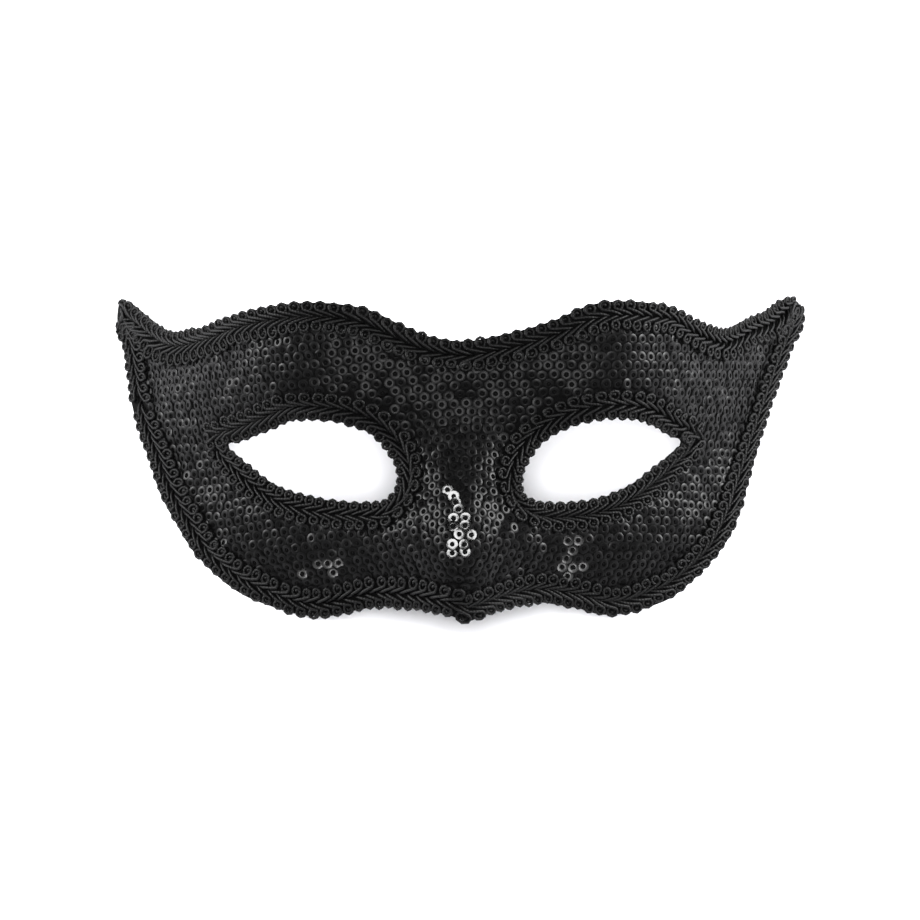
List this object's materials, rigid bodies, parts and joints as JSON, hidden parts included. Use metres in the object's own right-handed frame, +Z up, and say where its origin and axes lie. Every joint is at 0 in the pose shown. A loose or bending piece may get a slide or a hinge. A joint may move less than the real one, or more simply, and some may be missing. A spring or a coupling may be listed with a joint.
{
  "type": "party eye mask",
  "caption": "Curved half mask for the eyes with a nose ridge, upswept side tips, two eye holes and scroll braid round every edge, covered in small black sequins.",
  "frame": {"origin": "on the table under the middle of the mask's bounding box, the mask lying face up on its side rims", "axes": "+X from the mask's left edge to its right edge as the face is seen, +Y from the nose to the forehead, +Z up; the face looks up and towards -Y, 54 degrees above the table"},
  "size_m": [0.1818, 0.1212, 0.0595],
  "materials": {
    "shell_cloth": "black net cloth over a stiff form, matt",
    "braid": "black twisted cord with a soft silky sheen",
    "sequins": "glossy black cupped sequins"
  },
  "bodies": {
    "root": {"mask_shell": "shell_cloth", "edge_braid_top": "braid", "edge_braid_lower": "braid", "edge_braid_left": "braid", "left_eye_braid": "braid", "right_eye_braid": "braid"}
  },
  "joints": []
}
